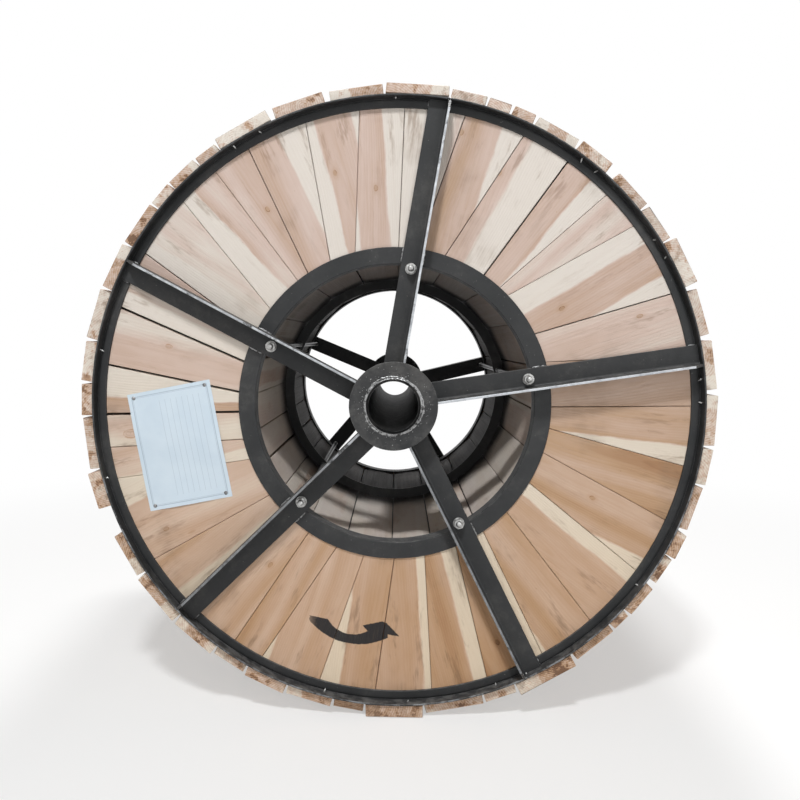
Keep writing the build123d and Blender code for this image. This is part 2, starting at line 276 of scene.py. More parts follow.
def painted_steel(name, bare_beyond=None, wear_and_highlight=(0.30, 1.0, 0.42), scuffs=0.0, painted_shade_factor=1.0):
    """Semi-matt near-black paint with dust, chips and worn edges, bare on what stands past bare_beyond.

    Dust on upward faces is partly painted light from above. wear: the noise level that must be passed
    before steel shows, then how bare it is above and below the hub, a difference that is partly painted
    highlight where light falls. scuffs: how rubbed and scratched the paint is. painted_shade_factor: 1 in
    daylight, less inside a bore, where paint, dust and gloss are darkened as painted shade.
    """
    s = Shader(name)
    place = s.place()
    cloud = s.noise(place, 7.0, 5.0, 0.62)
    grime = s.noise(place, 55.0, 4.0, 0.7)
    fine = s.noise(place, 420.0, 3.0, 0.6)
    # Inside a bore the paint's colour, its dust and its gloss are darkened as painted shade.
    shades = [(stop, tuple(painted_shade_factor * part for part in shade)) for stop, shade in PAINT_SHADES]
    colour = s.ramp(cloud, *shades)
    if scuffs:
        rub = s.noise(place, 28.0, 6.0, 0.75)
        colour = s.mix(s.times(s.band(rub, 0.42, 0.72), 0.55 * scuffs), colour, RUBBED_PAINT)
        hair = s.noise(s.stretch(place, (30.0, 400.0, 400.0), (0.0, 0.7, 0.0)), 1.0, 3.0, 0.6)
        colour = s.mix(s.times(s.band(hair, 0.66, 0.74), 0.5 * scuffs), colour, SCRAPED_STEEL)
    dust = s.band(s.times(grime, cloud), 0.24, 0.46)
    colour = s.mix(s.times(dust, 0.24), colour, PAINT_DUST)
    # Pale dust on upward faces: settled dust, and painted light where light from above falls on them.
    _, _, upward = s.normal()
    patchy = s.add(0.10, s.times(s.band(grime, 0.40, 0.62), 0.50))
    dust_and_light_above = s.times(s.band(upward, 0.35, 0.95), patchy)
    colour = s.mix(s.times(dust_and_light_above, painted_shade_factor), colour, TOP_DUST_AND_LIGHT)
    edge = s.times(s.worn_edges(EDGE_EASE), s.band(s.noise(place, 38.0, 4.0, 0.7), 0.38, 0.60))
    colour = s.mix(s.times(edge, 0.55), colour, SCRAPED_STEEL)
    chips = s.band(s.noise(place, 190.0, 2.0, 0.5), 0.74, 0.77)
    colour = s.mix(s.times(chips, 0.4), colour, CHIPPED_STEEL)
    metal = s.most(s.times(chips, 0.6), s.times(edge, 0.5))
    # Bare steel on what stands past bare_beyond: wear, with more or less of it above and below the hub as
    # painted highlight where light falls.
    if bare_beyond is not None:
        _, depth, rise = s.parts(place)
        top = s.band(s.unsigned(depth), bare_beyond - 0.0012, bare_beyond - 0.0002)
        threshold, above, below = wear_and_highlight
        share = s.add(below, s.times(s.band(rise, -0.16, -0.04), above - below))
        worn = s.times(top, s.band(s.noise(place, 26.0, 4.0, 0.7), threshold, threshold + 0.14))
        worn = s.times(worn, share)
        colour = s.mix(worn, colour, s.ramp(grime, *BARE_STEEL_AND_HIGHLIGHT))
        metal = s.most(metal, s.times(worn, 0.7))
    height = s.add(s.times(grime, 0.5), s.add(s.times(fine, 0.25), s.times(chips, -0.3)))
    roughness = s.ramp(grime, (0.3, 0.42), (0.7, 0.62))
    gloss = PAINT_GLOSS * painted_shade_factor
    return s.finish(colour, roughness, height, 0.0007, Metallic=metal, Specular_IOR_Level=gloss)


def bright_steel(name, light, dark, roughness, shade_within=None):
    """Bare or plated steel, darkened as painted shade nearer the middle of the drum than the given depth."""
    s = Shader(name)
    place = s.place()
    stain = s.noise(place, 130.0, 4.0, 0.6)
    colour = s.mix(s.band(stain, 0.42, 0.68), light, dark)
    if shade_within is not None:
        depth = s.unsigned(s.parts(place)[1])
        shade_mask = s.band(depth, shade_within - 0.01, shade_within + 0.01, reverse=True)
        colour = s.mix(shade_mask, colour, PAINTED_SHADE_STEEL)
    scratch = s.drawn_noise(place, (900.0, 60.0, 900.0))
    rough = s.ramp(stain, (0.3, roughness), (0.7, roughness + 0.2))
    return s.finish(colour, rough, scratch, 0.0002, Metallic=0.85)


PALE = (0.72, 0.655, 0.57)
CREAM = (0.665, 0.575, 0.485)
PINK = (0.60, 0.455, 0.375)
ROSE = (0.52, 0.365, 0.275)
TAN = (0.46, 0.30, 0.19)
DARK_TAN = (0.36, 0.205, 0.115)
BROWN = (0.17, 0.088, 0.047)
TIMBER_TONES = (
    (0.00, PALE),
    (0.20, CREAM),
    (0.38, PINK),
    (0.55, ROSE),
    (0.70, TAN),
    (0.86, DARK_TAN),
    (1.00, BROWN),
)
# Painted light by height: warmer and darker low down, cooler high up
PAINTED_LIGHT_BY_HEIGHT = ((0.0, (1.0, 0.93, 0.82)), (0.5, (0.98, 0.97, 0.94)), (1.0, (0.97, 1.0, 1.06)))
KNOT_RING = (0.22, 0.11, 0.06)
WEATHERED = (0.56, 0.48, 0.43)
RUBBED_TIMBER = (0.55, 0.54, 0.52)
SMUDGE = (0.24, 0.16, 0.105)
DIRT = (0.21, 0.125, 0.070)
# Painted light and shade inside the barrel: pale low down, dark at the top, near black deeper in
LOW_PAINTED_LIGHT = (0.70, 0.64, 0.59)
TOP_PAINTED_SHADE = (0.035, 0.031, 0.029)
FAR_PAINTED_SHADE = (0.022, 0.022, 0.024)
SAW_MARK = (0.30, 0.20, 0.13)
STENCIL_PAINT = (0.018, 0.018, 0.020)


def knots(s, local, along, across, main):
    """One main knot, and smaller ones strewn at random.

    Gives the distance from the main knot in its own radii, then masks of hearts, halos and outline.
    """
    knot_along, knot_across, knot_r = main
    from_knot = s.length(s.times(s.less(along, knot_along), 0.62), s.less(across, knot_across))
    burr = s.drawn_noise(local, (60.0, 90.0, 90.0))
    ragged = s.swing(burr, 0.9)
    distance = s.add(s.math("DIVIDE", from_knot, s.most(knot_r, 0.0005)), ragged)
    pins = s.stretch(local, (4.2, 13.0, 13.0))
    pin_distance = s.cells(pins, 1.0)
    pin_on = s.band(s.parts(s.cells(pins, 1.0, "Color"))[0], 0.86, 0.88)
    pin_heart = s.times(s.band(pin_distance, 0.025, 0.055, reverse=True), pin_on)
    pin_halo = s.times(s.band(pin_distance, 0.05, 0.22, reverse=True), pin_on)
    heart = s.most(s.band(distance, 0.7, 1.05, reverse=True), pin_heart)
    halo = s.most(s.band(distance, 0.9, 3.0, reverse=True), pin_halo)
    outline = s.times(s.band(distance, 0.75, 0.95), s.band(distance, 1.0, 1.20, reverse=True))
    return distance, heart, halo, s.times(outline, s.band(burr, 0.40, 0.56))


def growth(s, local, grain, lot, knot_across, knot_distance):
    """Rings about a pith line that lies below the board and slopes through it, and bends round the knot.

    Gives broad stripes, and the dark late wood of each year.
    """
    along, across, into = grain
    first, second, third = lot
    sway = s.swing(s.drawn_noise(local, (1.5, 2.0, 2.0)), 0.055)
    near_knot = s.band(knot_distance, 0.4, 3.4, reverse=True)
    bend = s.times(s.times(s.less(across, knot_across), -0.45), near_knot)
    pith_across = s.add(s.add(s.add(across, sway), s.swing(first, 0.17)), bend)
    slope = s.times(s.swing(third, 0.11), along)
    pith_depth = s.add(s.add(into, s.add(s.times(second, 0.05), 0.018)), slope)
    ring = s.length(pith_across, pith_depth)
    stripes = s.noise(s.add(ring, s.times(first, 9.0)), 27.0, 2.0, 0.42, line=True)
    year = s.math("FRACT", s.add(s.times(ring, 210.0), s.times(s.noise(local, 7.0), 1.6)))
    late = s.times(s.band(year, 0.15, 0.85), s.band(year, 0.86, 1.0, reverse=True))
    return stripes, late


def sapwood(s, local, across, sap_low, sap_high):
    """Cream sapwood along the board's low and high side, with a wandering border."""
    wander = s.swing(s.drawn_noise(local, (6.0, 22.0, 22.0), 5.0, 0.65), 0.024)
    place = s.add(across, wander)
    low = s.band(s.less(place, sap_low), -0.004, 0.003, reverse=True)
    high = s.band(s.less(place, sap_high), -0.003, 0.004)
    return s.most(low, high)


def torn_ends(s, level, late):
    """End grain, torn and stained in patches, and darker low on the drum."""
    end = s.band(s.unsigned(s.normal()[1]), 0.80, 0.95)
    torn = s.noise(s.place(), 110.0, 5.0, 0.72)
    rot = s.band(s.noise(s.place(), 26.0, 4.0, 0.7), 0.52, 0.66)
    low_down = s.band(s.parts(s.place())[2], -0.60, 0.10, reverse=True)
    level = s.add(level, s.times(end, s.add(-0.26, s.swing(torn, 1.4))))
    for mask, share in ((rot, 0.62), (low_down, 0.24), (late, 0.20)):
        level = s.add(level, s.times(s.times(end, mask), share))
    return level


def dirtied(s, colour, local, smudge, streak, low_too):
    """Smudges anywhere, and dirt that lies thicker near the rim, and low down if asked."""
    smeared = s.add(0.22, s.times(s.band(streak, 0.40, 0.70), 0.38))
    colour = s.mix(s.times(s.band(smudge, 0.55, 0.72), smeared), colour, SMUDGE)
    x, _, z = s.parts(s.place())
    thick = s.add(0.25, s.times(s.band(s.length(x, z), 0.46, 0.63), 0.75))
    if low_too:
        thick = s.most(thick, s.band(z, -0.50, -0.05, reverse=True))
    dirt = s.drawn_noise(local, (7.0, 34.0, 34.0), 4.0, 0.72)
    return s.mix(s.times(s.times(s.band(dirt, 0.54, 0.70), thick), 0.55), colour, DIRT)


def inside_barrel(s, colour, cloud, smudge, shade_from):
    """Painted light low down, painted shade at the top, and near-black painted shade deeper than shade_from.
    """
    _, depth, z = s.parts(s.place())
    # Pale patches low down: painted light on the lower staves.
    low_light_mask = s.times(s.band(z, -0.30, -0.02, reverse=True), s.band(cloud, 0.36, 0.60))
    colour = s.mix(s.times(low_light_mask, 0.70), colour, LOW_PAINTED_LIGHT)
    # Darker at the top: painted shade.
    colour = s.mix(s.times(s.band(z, -0.06, 0.24), 0.72), colour, TOP_PAINTED_SHADE)
    # Near black deeper into the barrel: painted shade.
    ragged_depth = s.add(depth, s.swing(smudge, 0.10))
    far_shade_mask = s.band(ragged_depth, shade_from - 0.07, shade_from + 0.04)
    return s.mix(s.times(far_shade_mask, 0.95), colour, FAR_PAINTED_SHADE)


def sawn_timber(name, weather=0.0, saw=0.0, ends=False, shade_from=None, painted_light_tint=0.0, sign=None):
    """Softwood, from each board's own attributes.

    grain: metres along, across and into the board. board: three random numbers.
    tone: heartwood's darkness, which on the front flange's lower boards is partly painted shade, then how
    far across the cream sapwood lies on the low and high side.
    knot: place along, place across and radius of its main knot.
    """
    s = Shader(name)
    grain = s.attribute("grain")
    ways = along, across, _ = s.parts(grain)
    lot = first, second, third = s.parts(s.attribute("board"))
    dark, sap_low, sap_high = s.parts(s.attribute("tone"))
    main_knot = s.parts(s.attribute("knot"))
    seed = s.joined(s.times(first, 37.0), s.times(second, 53.0), s.times(third, 71.0))
    local = s.node("ShaderNodeVectorMath", grain, seed, operation="ADD")
    knot_distance, heart, halo, outline = knots(s, local, along, across, main_knot)
    stripes, late = growth(s, local, ways, lot, main_knot[1], knot_distance)
    streak = s.drawn_noise(local, (3.5, 230.0, 230.0), 3.0, 0.6)
    fibre = s.drawn_noise(local, (26.0, 1300.0, 1300.0), 2.0, 0.5)
    cloud = s.drawn_noise(local, (5.0, 16.0, 16.0), 3.0, 0.6)
    sap = sapwood(s, local, across, sap_low, sap_high)

    # How dark the wood is, from 0 to 1
    level = s.add(dark, s.swing(stripes, 0.52))
    level = s.add(level, s.swing(cloud, 0.34))
    level = s.less(level, s.times(sap, s.most(s.less(level, 0.10), 0.0)))
    marks = (late, s.band(streak, 0.55, 0.82), s.less(fibre, 0.5), halo, heart, outline)
    for mark, share in zip(marks, (0.035, 0.08, 0.04, 0.07, 0.12, 0.34)):
        level = s.add(level, s.times(mark, share))
    if ends:
        level = torn_ends(s, level, late)

    # Its colour, and what has settled on it
    colour = s.ramp(level, *TIMBER_TONES)
    rings_in_knot = s.times(heart, s.band(s.math("SINE", s.times(knot_distance, 16.0)), 0.1, 0.9))
    colour = s.mix(s.times(rings_in_knot, 0.18), colour, KNOT_RING)
    # Painted light: warmer and darker low down and cooler high up, as from cool light above and warm light
    # bounced from below.
    if painted_light_tint:
        rise = s.parts(s.place())[2]
        colour = s.mix(painted_light_tint, colour, s.ramp(s.band(rise, -0.55, 0.35), *PAINTED_LIGHT_BY_HEIGHT), "MULTIPLY")
    if weather:
        stain = s.drawn_noise(local, (2.5, 7.0, 7.0), 4.0, 0.65)
        colour = s.mix(s.times(s.band(stain, 0.25, 0.65), weather), colour, WEATHERED)
        scuff = s.drawn_noise(local, (9.0, 3.0, 9.0), 5.0, 0.7)
        colour = s.mix(s.times(s.band(scuff, 0.54, 0.72), 0.45 * weather), colour, RUBBED_TIMBER)
    smudge = s.noise(s.place(), 5.5, 4.0, 0.6)
    colour = dirtied(s, colour, local, smudge, streak, low_too=shade_from is None)
    if shade_from is not None:
        colour = inside_barrel(s, colour, cloud, smudge, shade_from)
    if sign is not None:
        colour = sign(s, colour, fibre)
    height = s.add(s.times(fibre, 0.5), s.add(s.times(streak, 0.7), s.times(late, 0.3)))
    if saw:
        teeth = s.drawn_noise(local, (480.0, 14.0, 14.0), 2.0, 0.6)
        height = s.add(height, s.times(teeth, saw))
        colour = s.mix(s.times(s.band(teeth, 0.5, 0.75), 0.16), colour, SAW_MARK)
    roughness = s.ramp(streak, (0.3, 0.62), (0.8, 0.80))
    return s.finish(colour, roughness, height, 0.0005, Specular_IOR_Level=0.25)


# The turning arrow on the front boards, in x and z: a body between two circles, below one line and
# left of another, and a head of five corners
ARROW_OUTER = (-0.0766, -0.3871, 0.1387)
ARROW_INNER = (-0.0883, -0.4411, 0.0630)
ARROW_TOP_Z, ARROW_TOP_SLOPE = -0.4980, 0.189
ARROW_NECK_X = -0.0135
ARROW_TAIL_X = -0.18425
ARROW_HEAD = (
    (-0.0679, -0.4839),
    (-0.0260, -0.4744),
    (-0.0145, -0.4791),
    (0.0117, -0.5072),
    (-0.0580, -0.4961),
)


def turning_sign(s, colour, fibre):
    """A curved arrow sprayed through a stencil, thinner at its tail."""
    x, y, z = s.parts(s.place())
    fuzz = s.swing(s.noise(s.place(), 260.0, 3.0, 0.6), 0.0035)

    def past(value, place, soft=0.0007, reverse=False):
        return s.band(s.add(value, fuzz), place - soft, place + soft, reverse)

    outer_x, outer_z, outer_r = ARROW_OUTER
    inner_x, inner_z, inner_r = ARROW_INNER
    body = past(s.length(s.less(x, outer_x), s.less(z, outer_z)), outer_r, reverse=True)
    body = s.times(body, past(s.length(s.less(x, inner_x), s.less(z, inner_z)), inner_r))
    over_top = s.add(s.less(z, ARROW_TOP_Z), s.times(x, ARROW_TOP_SLOPE))
    body = s.times(body, past(over_top, 0.0, reverse=True))
    body = s.times(body, past(x, ARROW_NECK_X, reverse=True))
    body = s.times(body, past(s.add(x, fuzz), ARROW_TAIL_X, soft=0.00125))
    shape = None
    for start, end in zip(ARROW_HEAD, ARROW_HEAD[1:] + ARROW_HEAD[:1]):
        run = (end[0] - start[0], end[1] - start[1])
        size = math.hypot(*run)
        normal = (run[1] / size, -run[0] / size)
        reach = s.add(s.times(x, normal[0]), s.times(z, normal[1]))
        side = past(reach, start[0] * normal[0] + start[1] * normal[1], soft=0.0008)
        shape = side if shape is None else s.math("MINIMUM", shape, side)
    on_face = s.band(y, BOARD_FACE_Y + 0.0010, BOARD_FACE_Y + 0.0016, reverse=True)
    mask = s.times(s.most(body, shape), on_face)
    full = s.add(0.66, s.times(s.band(s.add(x, s.times(fuzz, 4.0)), -0.190, -0.165), 0.33))
    cover = s.add(s.times(s.band(fibre, 0.30, 0.55, reverse=True), -0.05), full)
    return s.mix(s.times(mask, cover), colour, STENCIL_PAINT)


PAPER_TINTS = ((0.60, 0.69, 0.765), (0.54, 0.635, 0.72))
PAPER_INK = (0.20, 0.27, 0.34)


def printed_sheet(name):
    """Paper with a printed border and the plain ruled lines of an empty form."""
    s = Shader(name)
    u, v, _ = s.parts(s.attribute("page"))
    inset_u = s.less(SHEET_W / 2.0, s.unsigned(u))
    inset_v = s.less(SHEET_H / 2.0, s.unsigned(v))
    inset = s.math("MINIMUM", inset_u, inset_v)
    border = s.band(s.unsigned(s.less(inset, 0.0085)), 0.0007, 0.0012, reverse=True)
    hairline = s.band(s.unsigned(s.less(inset, 0.0112)), 0.0003, 0.0006, reverse=True)
    lines = s.unsigned(s.less(s.math("FRACT", s.times(s.add(u, 0.5), 1.0 / 0.0125)), 0.5))
    ruled = s.band(lines, 0.455, 0.475)
    ruled = s.times(ruled, s.band(u, -0.035, -0.034))
    ruled = s.times(ruled, s.band(inset, 0.024, 0.025))
    ink = s.most(s.times(hairline, 0.4), s.times(ruled, 0.35))
    ink = s.most(s.times(border, 0.5), ink)
    # The paper's tint varies in soft patches.
    tint_patches = s.noise(s.place(), 16.0, 3.0, 0.5)
    colour = s.mix(s.band(tint_patches, 0.3, 0.8), *PAPER_TINTS)
    colour = s.mix(ink, colour, PAPER_INK)
    return s.finish(colour, 0.62, s.noise(s.place(), 300.0, 3.0), 0.0001)


def cable_jacket(name):
    """Scuffed black plastic."""
    s = Shader(name)
    scuff = s.noise(s.place(), 70.0, 4.0, 0.6)
    colour = s.ramp(scuff, (0.3, (0.010, 0.010, 0.011)), (0.75, (0.035, 0.035, 0.037)))
    return s.finish(colour, s.ramp(scuff, (0.3, 0.35), (0.7, 0.55)), scuff, 0.0004)


ZINC_LIGHT, ZINC_DARK = (0.50, 0.50, 0.49), (0.22, 0.21, 0.20)

PAINT = painted_steel("painted_steel")
HUB_PAINT = painted_steel("hub_paint", scuffs=0.7)
# Painted shade: the bore's paint is darkened inside the pipe.
SHADED_BORE_PAINT = painted_steel("bore_paint_shaded", painted_shade_factor=0.2)
# The upper spokes' leg tops show more bare steel: wear, and painted highlight where light falls from above.
SPOKE_PAINT = painted_steel("spoke_paint", bare_beyond=abs(SPOKE_TOP_Y))
# The rim's lip is barer below the hub: wear, and painted highlight where light falls on the lower lip.
RIM_PAINT = painted_steel("rim_paint", bare_beyond=abs(LIP_TIP_Y), wear_and_highlight=(0.44, 0.08, 0.40))
ZINC = bright_steel("zinc_steel", ZINC_LIGHT, ZINC_DARK, 0.30)
# Painted shade: the rods are darkened inside the barrel.
SHADED_ROD_STEEL = bright_steel("rod_steel_shaded", ZINC_LIGHT, ZINC_DARK, 0.30, shade_within=0.42)
WELD = bright_steel("weld_metal", (0.34, 0.34, 0.34), (0.03, 0.03, 0.03), 0.34)
STRAP_STEEL = bright_steel("strap_steel", (0.16, 0.17, 0.19), (0.115, 0.12, 0.135), 0.38)
# Painted light: the flange boards are tinted by height.
FLANGE_TIMBER_WITH_PAINTED_LIGHT = sawn_timber("flange_timber", painted_light_tint=1.0, sign=turning_sign)
# The staves carry painted light low down, and painted shade at the top and deeper in.
STAVE_TIMBER_WITH_PAINTED_LIGHT_AND_SHADE = sawn_timber("stave_timber", weather=0.60, saw=0.5, shade_from=-0.04)
# Painted light: the lagging is tinted by height, more weakly.
LAGGING_TIMBER_WITH_PAINTED_LIGHT = sawn_timber("lagging_timber", weather=0.10, saw=0.9, ends=True, painted_light_tint=0.4)
JACKET = cable_jacket("cable_jacket")
PAPER = printed_sheet("paper")


# Mesh helpers
def new_piece(name, bm, material, replaced=(), smooth=None):
    mesh = bpy.data.meshes.new(name)
    bm.to_mesh(mesh)
    bm.free()
    mesh.materials.append(material)
    if smooth is not None:
        mesh.shade_smooth()
        mesh.set_sharp_from_angle(angle=math.radians(smooth))
    piece = bpy.data.objects.new(name, mesh)
    bpy.context.scene.collection.objects.link(piece)
    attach(piece, "root")
    if replaced:
        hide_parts(*replaced)
    return piece


def loft(bm, rings, closed=False):
    """Skin rings of points that have the same count; open skins are capped."""
    made = [[bm.verts.new(point) for point in ring] for ring in rings]
    count = len(made[0])
    pairs = list(zip(made, made[1:]))
    if closed:
        pairs.append((made[-1], made[0]))
    for one, other in pairs:
        for k in range(count):
            following = (k + 1) % count
            bm.faces.new((one[k], one[following], other[following], other[k]))
    if not closed:
        bm.faces.new(reversed(made[0]))
        bm.faces.new(made[-1])


def angles(count):
    return [FULL_TURN * k / count for k in range(count)]


def circle(centre, radius, count, across, up):
    """Points round a centre, in the plane of two unit vectors."""
    turn = [(radius * math.cos(angle), radius * math.sin(angle)) for angle in angles(count)]
    return [centre + across * one + up * other for one, other in turn]


def outward(angle):
    return Vector((math.cos(angle), 0.0, math.sin(angle)))


def sideways(angle):
    return Vector((-math.sin(angle), 0.0, math.cos(angle)))


def turned(bm, foot, out, across, up, count, profile):
    """A small turned form: circles of given radii at given heights over its foot."""
    loft(bm, [circle(foot + out * height, radius, count, across, up) for height, radius in profile])


AXIS = Vector((0.0, 1.0, 0.0))


# Boards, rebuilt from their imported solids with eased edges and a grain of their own
def islands(bm):
    """The separate solids of a mesh, as lists of vertices sorted by place, the same in each run."""
    left = set(bm.verts)
    found = []
    while left:
        group = [left.pop()]
        for vertex in group:
            for edge in vertex.link_edges:
                other = edge.other_vert(vertex)
                if other in left:
                    left.discard(other)
                    group.append(other)
        found.append(sorted(group, key=lambda v: [round(number, 5) for number in v.co]))
    return found


def middle_of(verts):
    return sum((v.co for v in verts), Vector()) / len(verts)


def angle_of(verts):
    middle = middle_of(verts)
    return math.atan2(middle.z, middle.x) % FULL_TURN


def board_mesh(node, cuts=0):
    """A node's boards with their long edges eased, and cut across for roughening."""
    bm = bmesh.new()
    bm.from_mesh(NODES[node].data)
    bmesh.ops.remove_doubles(bm, verts=bm.verts, dist=1e-6)
    bmesh.ops.dissolve_limit(bm, angle_limit=math.radians(1.0), verts=bm.verts, edges=bm.edges)
    sharp = []
    for edge in bm.edges:
        if len(edge.link_faces) == 2 and edge.calc_face_angle() > 0.7 and edge.calc_length() > 0.015:
            sharp.append(edge)
    bmesh.ops.bevel(bm, geom=sharp, offset=EDGE_EASE, segments=1, affect="EDGES", clamp_overlap=True)
    if cuts:
        long_edges = [edge for edge in bm.edges if edge.calc_length() > 0.3]
        bmesh.ops.subdivide_edges(bm, edges=long_edges, cuts=cuts, use_grid_fill=True)
    return bm


def radial_axes(angle):
    """A flange board's grain runs outwards from the hub."""
    return outward(angle), sideways(angle), AXIS


def axial_axes(angle):
    """A stave's or lagging board's grain runs along the drum."""
    return AXIS, sideways(angle), outward(angle)


def dress_boards(node, name, material, axes_of, seed, looks=None, cuts=0, roughen=None):
    """One mesh of all the boards of a node, each with its own grain and its own tones."""
    rng = random.Random(seed)
    bm = board_mesh(node, cuts)
    layers = {key: bm.verts.layers.float_vector.new(key) for key in ("grain", "board", "tone", "knot")}
    groups = sorted(islands(bm), key=angle_of)
    for count, group in enumerate(groups):
        angle = angle_of(group)
        middle = middle_of(group)
        along, across, into = axes_of(angle)
        reach = max(abs((v.co - middle).dot(along)) for v in group)
        half = max(abs((v.co - middle).dot(across)) for v in group)
        lot = Vector((rng.random(), rng.random(), rng.random()))
        tone, knot = (looks or chance_look)(count, rng, reach, half)
        for v in group:
            offset = v.co - middle
            v[layers["grain"]] = Vector((offset.dot(along), offset.dot(across), offset.dot(into)))
            v[layers["board"]] = lot
            v[layers["tone"]] = Vector(tone)
            v[layers["knot"]] = Vector(knot)
        if roughen:
            roughen(group, middle, (along, across, into), rng)
    return new_piece(name, bm, material, [node])


def chance_look(_count, rng, reach, half):
    """Tones and a knot by chance."""
    dark = rng.choice((0.22, 0.35, 0.42, 0.50, 0.58, 0.66))
    sap_low = -half * rng.uniform(0.2, 0.8) if rng.random() < 0.35 else -1.0
    sap_high = half * rng.uniform(0.2, 0.8) if rng.random() < 0.35 else 1.0
    knot_r = rng.uniform(0.004, 0.009) if rng.random() < 0.45 else 0.0
    knot = (rng.uniform(-0.8, 0.8) * reach, rng.uniform(-0.6, 0.6) * half, knot_r)
    return (dark, sap_low, sap_high), knot


# Front flange boards, anticlockwise from just above the right-hand spoke, in hundredths: how dark the
# heartwood is, and the share of the width that is sapwood on the low and high side. The darkness runs
# higher on the lower boards, which is partly painted shade low on the flange. Where there is a
# main knot, its share of the way out and of the half width across, and its radius in mm, follow.
FRONT_LOOKS = [
    (38, 0, 0, 62, 30, 4),
    (50, 22, 42, 30, -10, 4),
    (30, 0, 0),
    (47, 40, 0),
    (42, 60, 0, 70, 60, 4),
    (50, 30, 0, 72, 50, 4),
    (22, 0, 50),
    (44, 38, 14, 50, 10, 4),
    (42, 14, 42, 55, 0, 4),
    (42, 40, 0),
    (46, 0, 0, 45, -20, 4),
    (44, 0, 50),
    (26, 0, 40),
    (28, 0, 40),
    (28, 0, 0, 50, -20, 5),
    (56, 60, 0),
    (26, 0, 0, 80, 0, 10),
    (36, 0, 30),
    (40, 30, 0, 65, 30, 4),
    (44, 0, 40),
    (48, 0, 0, 35, 20, 4),
    (58, 0, 0),
    (50, 10, 0),
    (60, 30, 0),
    (60, 0, 30, 50, -70, 4),
    (66, 0, 40),
    (74, 0, 32, 65, -30, 4),
    (58, 8, 0),
    (56, 0, 36, 90, -60, 5),
    (58, 20, 0, 45, 20, 4),
    (64, 0, 0),
    (58, 35, 0),
    # Made paler as painted light, against the right-hand spoke's shadow that falls on this board
    (50, 0, 0, 36, 80, 9),
]


def front_look(count, _rng, reach, half):
    """The front boards follow the photograph. They are counted from +X."""
    first_at = len(FRONT_LOOKS) - 1
    dark, low, high, *knot = FRONT_LOOKS[(count + first_at) % len(FRONT_LOOKS)]
    sap_low = -half + 0.02 * half * low if low else -1.0
    sap_high = half - 0.02 * half * high if high else 1.0
    tone = (0.01 * dark, sap_low, sap_high)
    if not knot:
        return tone, (0.0, 0.0, 0.0)
    out, side, radius = knot
    return tone, ((0.02 * out - 1.0) * reach, 0.01 * side * half, radius * MM)


def stave_look(count, rng, reach, half):
    """By chance too, but paler."""
    tone, knot = chance_look(count, rng, reach, half)
    return (tone[0] - 0.12, tone[1], tone[2]), knot


def rough_sawn(group, middle, axes, rng):
    """Wandering edges and torn ends, always inwards, so that no board grows."""
    edge_wander, face_wander, end_wander, end_tear = 0.0016, 0.0020, 0.0008, 0.0035
    along, across, into = axes
    reach = max((v.co - middle).dot(along) for v in group)
    phases = [rng.uniform(0.0, FULL_TURN) for _ in range(8)]
    for v in group:
        offset = v.co - middle
        run, side, depth = offset.dot(along), offset.dot(across), offset.dot(into)
        corner = (1 if side > 0.0 else 0) + (2 if depth > 0.0 else 0)
        long_wave = math.sin(run * 19.0 + phases[corner])
        short_wave = math.sin(run * 47.0 + phases[corner + 4])
        wave = 0.5 + 0.25 * long_wave + 0.25 * short_wave
        v.co -= across * (math.copysign(edge_wander, side) * wave)
        if depth > 0.0:
            v.co -= into * (face_wander * wave if abs(run) < reach - 0.03 else end_wander)
        if abs(run) > reach - 0.02:
            v.co -= along * (math.copysign(end_tear, run) * rng.random())


dress_boards("flange_boards_front", "front_flange_boards", FLANGE_TIMBER_WITH_PAINTED_LIGHT, radial_axes, 11,
             looks=front_look)
dress_boards("flange_boards_back", "back_flange_boards", FLANGE_TIMBER_WITH_PAINTED_LIGHT, radial_axes, 23)
dress_boards("barrel_staves", "stave_boards", STAVE_TIMBER_WITH_PAINTED_LIGHT_AND_SHADE, axial_axes, 31, looks=stave_look)
dress_boards("lagging_boards", "lagging_planks", LAGGING_TIMBER_WITH_PAINTED_LIGHT, axial_axes, 47, cuts=30,
             roughen=rough_sawn)


# Nails through the lagging boards, with some tips showing inside the rims' lips
def lagging_spans():
    """Each lagging board's angle, half width, outer face and two ends."""
    bm = board_mesh("lagging_boards")
    spans = []
    for group in sorted(islands(bm), key=angle_of):
        angle = angle_of(group)
        half = max(abs((v.co - middle_of(group)).dot(sideways(angle))) for v in group)
        top = max(v.co.dot(outward(angle)) for v in group)
        ends = min(v.co.y for v in group), max(v.co.y for v in group)
        spans.append((angle, half, top, ends))
    bm.free()
    return spans


def lagging_nails():
    rng = random.Random(5)
    head = ((-0.0040, 0.0034), (-0.0010, 0.0036), (-0.0006, 0.0026))
    heads, tips = bmesh.new(), bmesh.new()
    for angle, half, top, ends in lagging_spans():
        out, across = outward(angle), sideways(angle)
        for share in (-0.55, 0.55) if half > TWO_NAIL_HALF_WIDTH else (0.0,):
            for side, end in zip((-1.0, 1.0), ends):
                off = (share + rng.uniform(-0.12, 0.12)) * half
                y = end - side * (NAIL_INSET + rng.uniform(-0.001, 0.001))
                turned(heads, out * top + across * off + AXIS * y, out, across, AXIS, 12, head)
                if rng.random() < 1.0 - TIP_CHANCE or abs(y) < abs(STEEL_FACE_Y) + 0.003:
                    continue
                inner = out * (RIM_R - LIP_T - 0.0006) + across * off + AXIS * y
                lean = across * rng.uniform(-0.5, 0.5) + AXIS * rng.uniform(-0.3, 0.3)
                tip = inner - (out + lean) * rng.uniform(0.004, 0.009)
                spots = inner + out * 0.0016, inner, inner.lerp(tip, 0.6), tip
                radii = 0.0019, 0.0019, 0.0016, 0.0003
                loft(tips, [circle(spot, radius, 8, across, AXIS) for spot, radius in zip(spots, radii)])
    new_piece("nail_heads", heads, ZINC, smooth=40)
    new_piece("nail_tips", tips, ZINC, smooth=40)


